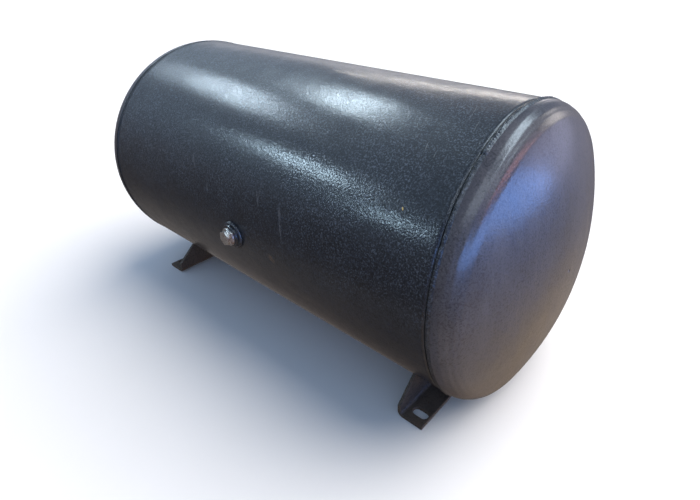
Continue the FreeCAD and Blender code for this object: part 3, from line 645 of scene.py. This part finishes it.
def saddle_bead(sign, side, node, seed):
    lo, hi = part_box(node)
    leg = 0.004
    inner = side == "inner"
    near = (hi[0] if inner else lo[0]) if sign > 0 else (lo[0] if inner else hi[0])
    step = sign * (-1 if inner else 1)
    reach = math.asin(min(0.999, (hi[1] - lo[1]) / 2 / (R + leg))) - 0.004
    a = np.linspace(-reach, reach, 900)
    s = (a + reach) * R
    v = np.linspace(0, 1, 9)
    taper = np.clip(np.minimum(s, s[-1] - s) / 0.006, 0.25, 1) ** 0.5
    lg = leg * (0.86 + 0.06 * noise1(s, seed, s[-1]) + 0.05 * cell_noise(s, seed + 1, 0.005)) * taper
    lg = np.minimum(lg, leg * 0.97)
    q = v * math.pi / 2
    rip = ripple(s, 2 * v - 1, 0.0022, seed + 2) * np.sin(2 * q)[None, :] * 0.00020
    dx = lg[:, None] * np.sin(q)[None, :] ** 0.85 + rip - 0.0001
    dr = lg[:, None] * np.cos(q)[None, :] ** 0.85 + rip - 0.0001
    dx, dr = np.clip(dx, -0.0002, leg - 0.00003), np.clip(dr, -0.0002, leg - 0.00003)
    rad = R + dr
    P = np.stack([near + step * dx, rad * np.sin(a)[:, None], AXIS - rad * np.cos(a)[:, None]], -1)
    cx = near - step * 0.0004 + 0 * a[:, None]
    rb = R - 0.0006
    Pb = np.stack([cx, rb * np.sin(a)[:, None], AXIS - rb * np.cos(a)[:, None]], -1)
    ob = grid(node + "_bead", np.concatenate([P, Pb], 1), close_v=True, caps=True)
    return keep(ob, node, M_WELD)


# ---------------------------------------------------------------------------
# Pieces that keep the CAD shape, with their edges eased as plate and bar are
# ---------------------------------------------------------------------------
def eased(node, name, width, mat, segments=3, angle=28):
    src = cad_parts[node]
    me = src.data.copy()
    me.name = name
    bm = bmesh.new()
    bm.from_mesh(me)
    bmesh.ops.remove_doubles(bm, verts=bm.verts, dist=1e-6)
    bmesh.ops.dissolve_limit(bm, angle_limit=math.radians(0.4), verts=bm.verts, edges=bm.edges)
    bmesh.ops.recalc_face_normals(bm, faces=bm.faces)
    bm.to_mesh(me)
    bm.free()
    ob = link(me, name)
    ob.matrix_world = src.matrix_world.copy()
    m = ob.modifiers.new("ease", "BEVEL")
    m.width, m.segments, m.limit_method, m.angle_limit = width, segments, "ANGLE", math.radians(angle)
    m.use_clamp_overlap = True
    m.harden_normals = False
    w = ob.modifiers.new("normals", "WEIGHTED_NORMAL")
    w.keep_sharp = True
    me.shade_smooth()
    return keep(ob, node, mat)


shell()
head(-1, "left_dish", "left_head")
head(1, "right_dish", "right_head")
girth(-1, "left_girth_bead", "left_girth_weld", 101, 205.0, proud=0.42, undercut=0.25)
girth(1, "right_girth_bead", "right_girth_weld", 131, 57.0)
long_seam()
for side, seed in (("front", 201), ("rear", 221)):
    boss_weld(side, side + "_boss_weld", seed)
    eased(side + "_boss", side + "_port_boss", 0.0005, M_BOSS)
    eased(side + "_plug", side + "_port_plug", 0.00035, M_ZINC)
for sign, nm in ((-1, "left"), (1, "right")):
    eased(nm + "_saddle", nm + "_foot_plate", 0.0006, M_FEET)
    saddle_bead(sign, "inner", nm + "_saddle_inner_weld", 301 + sign)
    saddle_bead(sign, "outer", nm + "_saddle_outer_weld", 321 + sign)

# ---------------------------------------------------------------------------
# Floor, light and camera
# ---------------------------------------------------------------------------
me = bpy.data.meshes.new("studio_floor")
me.from_pydata([(-30, -30, 0), (30, -30, 0), (30, 30, 0), (-30, 30, 0)], [], [(0, 1, 2, 3)])
floor = link(me, "studio_floor")
n = Nodes("studio_floor_card")
floor.data.materials.append(n.set(
    color=n.mix(n.remap(n.noise(3.0, 4.0, 0.6), 0.3, 0.7), (0.875, 0.860, 0.835), (0.89, 0.875, 0.855)),
    rough=0.75, normal=n.bump(n.noise(700.0, 3.0), 0.05, 0.0005), spec=0.2))
floor.visible_glossy = False     # the enamel mirrors the dark room under the horizon instead

bpy.context.scene.view_settings.view_transform = "Standard"
bpy.context.scene.view_settings.look = "None"

world = bpy.context.scene.world or bpy.data.worlds.new("studio")
bpy.context.scene.world = world
world.use_nodes = True
wt = world.node_tree
wt.nodes.clear()
wo = wt.nodes.new("ShaderNodeOutputWorld")
bg = wt.nodes.new("ShaderNodeBackground")
tc = wt.nodes.new("ShaderNodeTexCoord")
sep = wt.nodes.new("ShaderNodeSeparateXYZ")
ramp = wt.nodes.new("ShaderNodeValToRGB")
wt.links.new(tc.outputs["Generated"], sep.inputs[0])
height = wt.nodes.new("ShaderNodeMapRange")
height.inputs["From Min"].default_value = -1.0
wt.links.new(sep.outputs[2], height.inputs["Value"])
wt.links.new(height.outputs[0], ramp.inputs[0])
side = wt.nodes.new("ShaderNodeMapRange")
side.inputs["From Min"].default_value, side.inputs["From Max"].default_value = -0.15, 0.35
wt.links.new(sep.outputs[0], side.inputs["Value"])
lit = wt.nodes.new("ShaderNodeValToRGB")
wt.links.new(height.outputs[0], lit.inputs[0])
both = wt.nodes.new("ShaderNodeMix")
both.data_type = "RGBA"
wt.links.new(side.outputs[0], both.inputs[0])
wt.links.new(ramp.outputs[0], both.inputs[6])
wt.links.new(lit.outputs[0], both.inputs[7])
wt.links.new(both.outputs[2], bg.inputs[0])
lit.color_ramp.elements[0].position, lit.color_ramp.elements[0].color = 0.0, (0.60, 0.46, 0.33, 1)
lit.color_ramp.elements[1].position, lit.color_ramp.elements[1].color = 0.95, (0.29, 0.42, 0.62, 1)
for at, colour in ((0.17, (0.90, 0.68, 0.46)), (0.33, (0.47, 0.44, 0.48)), (0.47, (0.52, 0.53, 0.68)),
                   (0.56, (0.44, 0.46, 0.58)), (0.70, (0.31, 0.40, 0.58))):
    e = lit.color_ramp.elements.new(at)
    e.color = (*colour, 1)
wt.links.new(bg.outputs[0], wo.inputs[0])
els = ramp.color_ramp.elements
els[0].position, els[0].color = 0.0, (0.085, 0.066, 0.052, 1)
els[1].position, els[1].color = 0.95, (0.29, 0.42, 0.62, 1)
for at, colour in ((0.12, (0.25, 0.215, 0.20)), (0.21, (0.36, 0.33, 0.315)), (0.31, (0.165, 0.14, 0.13)), (0.46, (0.22, 0.20, 0.205)), (0.53, (0.38, 0.38, 0.44)),
                   (0.60, (0.34, 0.38, 0.50)), (0.70, (0.31, 0.40, 0.58))):
    e = els.new(at)
    e.color = (*colour, 1)
bg.inputs[1].default_value = 1.0


def softbox(name, az, el, wide, tall, radiance, color, dist=5.0, roll=0.0, diffuse=False):
    """A soft oval light at a bearing and height from the tank, its spread given in degrees."""
    a, e = math.radians(az), math.radians(el)
    d = Vector((math.cos(a) * math.cos(e), math.sin(a) * math.cos(e), math.sin(e)))
    data = bpy.data.lights.new(name, "AREA")
    data.shape = "ELLIPSE"
    data.size = 2 * dist * math.tan(math.radians(wide) / 2)
    data.size_y = 2 * dist * math.tan(math.radians(tall) / 2)
    data.energy = radiance * math.pi * math.pi / 4 * data.size * data.size_y
    data.color = color
    ob = bpy.data.objects.new(name, data)
    bpy.context.scene.collection.objects.link(ob)
    z = d
    xv = Vector((-math.sin(a), math.cos(a), 0.0))
    yv = z.cross(xv)
    c, s_ = math.cos(math.radians(roll)), math.sin(math.radians(roll))
    m = Matrix((xv * c + yv * s_, yv * c - xv * s_, z)).transposed().to_4x4()
    m.translation = Vector((0, 0, AXIS)) + d * dist
    ob.matrix_world = m
    ob.visible_camera = False
    ob.visible_diffuse = diffuse
    return ob


# row of cool skylight boxes that the shell mirrors
softbox("sky_box_1", 161, 47, 22, 5.6, 52, (0.72, 0.89, 1.0), roll=17)
softbox("sky_box_2", -175.5, 36.2, 15.5, 5.2, 48, (0.70, 0.87, 1.0), roll=-4)
softbox("sky_box_3", -140.5, 27.6, 10.5, 4.6, 69, (0.62, 0.84, 1.0), roll=-8)
softbox("sky_box_4", -122.5, 21.0, 7.5, 4.5, 42, (0.58, 0.82, 1.0), roll=-8)
# the same row carries on over the other end of the tank
softbox("sky_box_5", 42, 59, 50, 15, 15.5, (0.72, 0.88, 1.0))
softbox("sky_box_6", -38, 48, 56, 24, 3.6, (0.76, 0.88, 1.0))
# warm card low behind, blue card off the right end
softbox("warm_card", 126, 22.2, 24, 1.3, 42, (1.0, 0.92, 0.84), roll=10)
softbox("warm_card_2", 110, 16.5, 16, 1.3, 36, (1.0, 0.91, 0.82), roll=12)
softbox("back_card", 127, 10, 60, 13, 1.15, (0.97, 0.95, 1.0))
softbox("blue_card", -4, 5.5, 96, 18, 11.8, (0.17, 0.38, 1.0), dist=2.6, roll=-6)
softbox("lilac_card", 50, 3, 34, 15, 2.4, (0.66, 0.68, 1.0))
softbox("rose_card", 14, 25, 56, 6, 8.0, (1.0, 0.46, 0.46), roll=-6)
softbox("cream_card", 64, 20, 20, 20, 5.2, (1.0, 0.93, 0.87))

sun = bpy.data.lights.new("overhead", "SUN")
sun.energy = 4.1
sun.angle = math.radians(64)
sun.color = (1.0, 0.93, 0.855)
ob = bpy.data.objects.new("overhead", sun)
bpy.context.scene.collection.objects.link(ob)
ob.rotation_mode = "QUATERNION"
ob.rotation_quaternion = Vector((0.42, 0.62, 1.0)).to_track_quat("Z", "Y")
ob.visible_glossy = False

cam_data = bpy.data.cameras.new("camera")
cam = bpy.data.objects.new("camera", cam_data)
bpy.context.scene.collection.objects.link(cam)
rot = Matrix(((0.7835076397755459, 0.6213656208500149, 0.004532509131693563),
              (0.275973908865448, -0.34143393642664077, -0.8984771943025232),
              (-0.5567352872226429, 0.7052146001621664, -0.43899679688949567)))
at = Vector((2.85933816, -2.67896536, 1.75607302)) * 0.2 + Vector((0, 0, AXIS))
right, down, ahead = rot[0], rot[1], rot[2]
m = Matrix((right, -down, -ahead)).transposed().to_4x4()
m.translation = at
cam.matrix_world = m
cam_data.sensor_fit = "HORIZONTAL"
cam_data.sensor_width = 36.0
cam_data.lens = 503.32946958 * 36.0 / 700.0
cam_data.shift_x = (350 - 403.46542417) / 700.0
cam_data.shift_y = (199.09057291 - 250) / 700.0
cam_data.clip_start, cam_data.clip_end = 0.02, 200.0
bpy.context.scene.camera = cam
